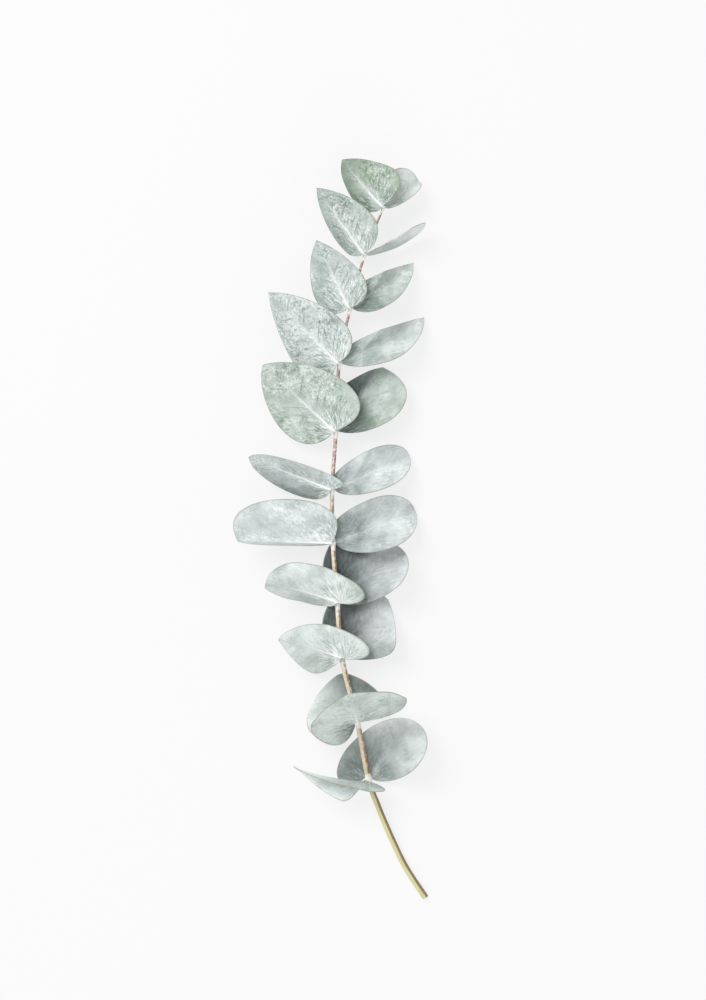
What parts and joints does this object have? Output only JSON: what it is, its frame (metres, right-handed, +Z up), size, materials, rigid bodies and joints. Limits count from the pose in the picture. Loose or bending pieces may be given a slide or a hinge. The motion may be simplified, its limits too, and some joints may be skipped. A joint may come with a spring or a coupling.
{
  "type": "eucalyptus branch",
  "caption": "Cut branch of juvenile eucalyptus lying flat: a thin curved woody stem with opposite pairs of round, stalkless, grey-green leaves.",
  "frame": {"origin": "centre of the branch's bounding box, on the surface it lies on", "axes": "+Y along the branch from the cut end to the tip, +X to the right when seen from above with the tip up, +Z up from the surface"},
  "size_m": [0.0885, 0.3373, 0.0442],
  "materials": {
    "stem": "dull bark with whitish wax, pinkish brown at the tip and olive at the cut end",
    "leaf_front": "matt, pale grey-green under a white waxy bloom",
    "leaf_back": "matt, blue-grey green under a thinner waxy bloom"
  },
  "bodies": {
    "root": {"stem": "stem", "leaf_front_01": "leaf_front", "leaf_front_02": "leaf_front", "leaf_front_03": "leaf_front", "leaf_front_04": "leaf_front", "leaf_front_05": "leaf_front", "leaf_front_06": "leaf_front", "leaf_front_07": "leaf_front", "leaf_front_08": "leaf_front", "leaf_front_09": "leaf_front", "leaf_front_10": "leaf_front", "leaf_front_11": "leaf_front", "leaf_back_01": "leaf_back", "leaf_back_02": "leaf_back", "leaf_back_03": "leaf_back", "leaf_back_04": "leaf_back", "leaf_back_05": "leaf_back", "leaf_back_06": "leaf_back", "leaf_back_07": "leaf_back", "leaf_back_08": "leaf_back", "leaf_back_09": "leaf_back", "leaf_back_10": "leaf_back", "leaf_back_11": "leaf_back"}
  },
  "joints": []
}
